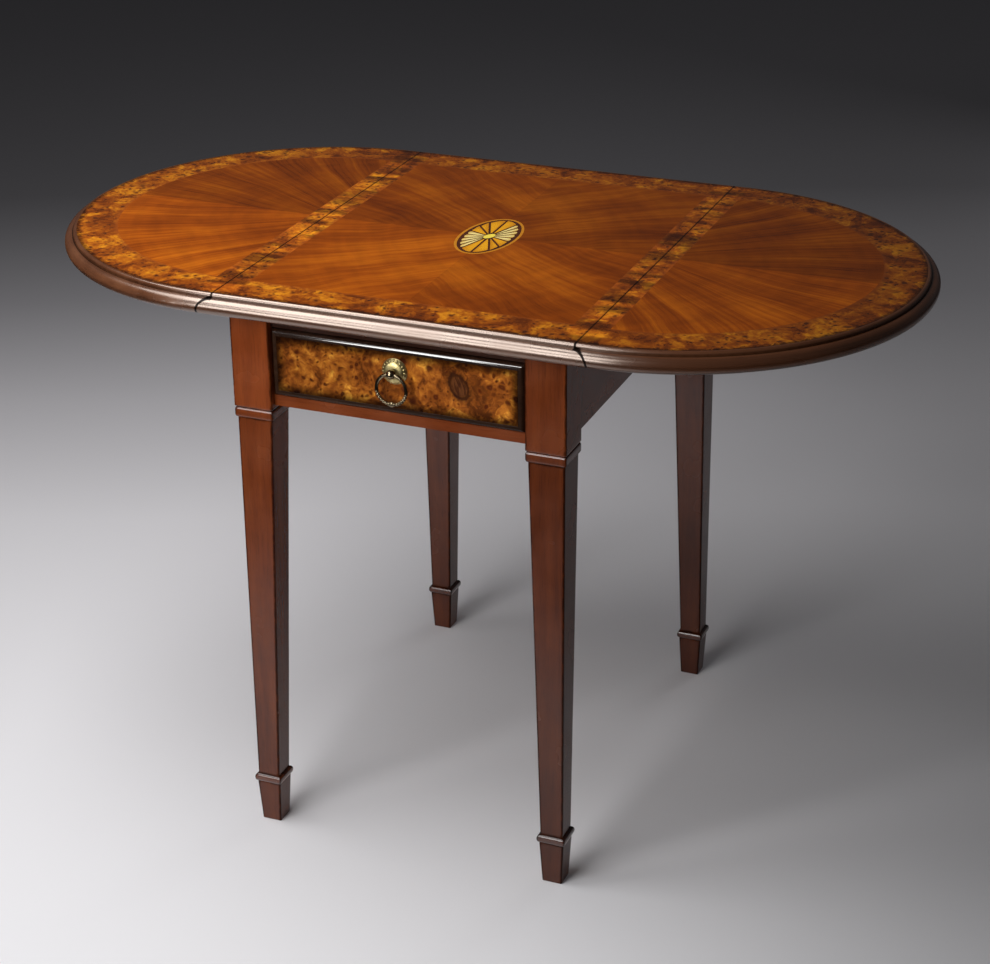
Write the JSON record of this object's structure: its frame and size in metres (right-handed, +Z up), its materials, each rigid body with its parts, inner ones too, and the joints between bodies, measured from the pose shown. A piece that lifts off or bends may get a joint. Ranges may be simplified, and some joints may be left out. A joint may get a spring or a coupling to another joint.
{
  "type": "pembroke table",
  "caption": "Small wooden table with half-round drop leaves on rule joints, a moulded edge, an end drawer with a ring pull, and square tapered legs on spade feet.",
  "frame": {"origin": "on the floor, under the middle of the top", "axes": "+X from leaf to leaf towards the right leaf, +Y from the drawer towards the back, +Z up"},
  "size_m": [0.9772, 0.5524, 0.635],
  "materials": {
    "mahogany": "polished",
    "field_veneer": "polished",
    "burl_veneer": "polished",
    "inlay": "polished",
    "dark_bead": "polished",
    "secondary_wood": "unfinished",
    "brass": "antique",
    "steel": "aged"
  },
  "bodies": {
    "frame": {"back_edge_moulding": "mahogany", "back_left_leg": "mahogany", "back_rail": "mahogany", "back_right_leg": "mahogany", "centre_crossbanding": "burl_veneer", "centre_field_veneer": "field_veneer", "drawer_stops": "secondary_wood", "fan_patera": "inlay", "frame_hardware_screws": "steel", "front_edge_moulding": "mahogany", "front_left_leg": "mahogany", "front_lower_rail": "mahogany", "front_right_leg": "mahogany", "front_upper_rail": "mahogany", "hinge_pins": "steel", "left_centre_lipping": "mahogany", "left_drawer_kicker": "secondary_wood", "left_drawer_runner": "secondary_wood", "left_hinge_centre_plates": "steel", "left_side_rail": "mahogany", "left_stay_rail_plate": "steel", "right_centre_lipping": "mahogany", "right_drawer_kicker": "secondary_wood", "right_drawer_runner": "secondary_wood", "right_hinge_centre_plates": "steel", "right_side_rail": "mahogany", "right_stay_rail_plate": "steel", "top_core": "secondary_wood", "top_screws": "steel"},
    "right_leaf": {"right_hinge_leaf_plates": "steel", "right_leaf_core": "secondary_wood", "right_leaf_crossbanding": "burl_veneer", "right_leaf_edge_moulding": "mahogany", "right_leaf_field_veneer": "field_veneer", "right_leaf_lipping": "mahogany", "right_leaf_screws": "steel", "right_stay_leaf_plate": "steel"},
    "left_leaf": {"left_hinge_leaf_plates": "steel", "left_leaf_core": "secondary_wood", "left_leaf_crossbanding": "burl_veneer", "left_leaf_edge_moulding": "mahogany", "left_leaf_field_veneer": "field_veneer", "left_leaf_lipping": "mahogany", "left_leaf_screws": "steel", "left_stay_leaf_plate": "steel"},
    "right_stay_arm": {"right_stay_arm": "steel"},
    "right_stay_link": {"right_stay_link": "steel"},
    "left_stay_arm": {"left_stay_arm": "steel"},
    "left_stay_link": {"left_stay_link": "steel"},
    "drawer": {"drawer_back": "secondary_wood", "drawer_bead": "dark_bead", "drawer_bottom": "secondary_wood", "drawer_front": "secondary_wood", "drawer_front_veneer": "burl_veneer", "left_drawer_side": "secondary_wood", "pull_eye": "brass", "pull_nut": "brass", "pull_rosette": "brass", "right_drawer_side": "secondary_wood"},
    "pull_ring": {"pull_ring": "brass"}
  },
  "joints": [
    {"name": "right_leaf_drop", "type": "hinge", "parent": "frame", "child": "right_leaf", "pos_m": [0.1975, 0, 0.6165], "axis": [0, 1, 0], "range_deg": [0, 90]},
    {"name": "right_stay_arm_turn", "type": "hinge", "parent": "frame", "child": "right_stay_arm", "pos_m": [0.1885, 0, 0.5665], "axis": [0, 1, 0], "range_deg": [0, 90]},
    {"name": "right_stay_link_turn", "type": "hinge", "parent": "right_leaf", "child": "right_stay_link", "pos_m": [0.3075, 0, 0.6065], "axis": [0, 1, 0], "range_deg": [-90, 0]},
    {"name": "left_leaf_drop", "type": "hinge", "parent": "frame", "child": "left_leaf", "pos_m": [-0.1975, 0, 0.6165], "axis": [0, -1, 0], "range_deg": [0, 90]},
    {"name": "left_stay_arm_turn", "type": "hinge", "parent": "frame", "child": "left_stay_arm", "pos_m": [-0.1885, 0, 0.5665], "axis": [0, -1, 0], "range_deg": [0, 90]},
    {"name": "left_stay_link_turn", "type": "hinge", "parent": "left_leaf", "child": "left_stay_link", "pos_m": [-0.3075, 0, 0.6065], "axis": [0, -1, 0], "range_deg": [-90, 0]},
    {"name": "drawer_slide", "type": "slide", "parent": "frame", "child": "drawer", "axis": [0, -1, 0], "range_m": [0, 0.25]},
    {"name": "ring_swing", "type": "hinge", "parent": "drawer", "child": "pull_ring", "pos_m": [0, -0.2625, 0.573], "axis": [-1, 0, 0], "range_deg": [0, 150]}
  ],
  "couplings": [
    {"joint": "right_stay_arm_turn", "follows": "right_leaf_drop", "ratio": 1},
    {"joint": "right_stay_link_turn", "follows": "right_leaf_drop", "ratio": -1},
    {"joint": "left_stay_arm_turn", "follows": "left_leaf_drop", "ratio": 1},
    {"joint": "left_stay_link_turn", "follows": "left_leaf_drop", "ratio": -1}
  ]
}
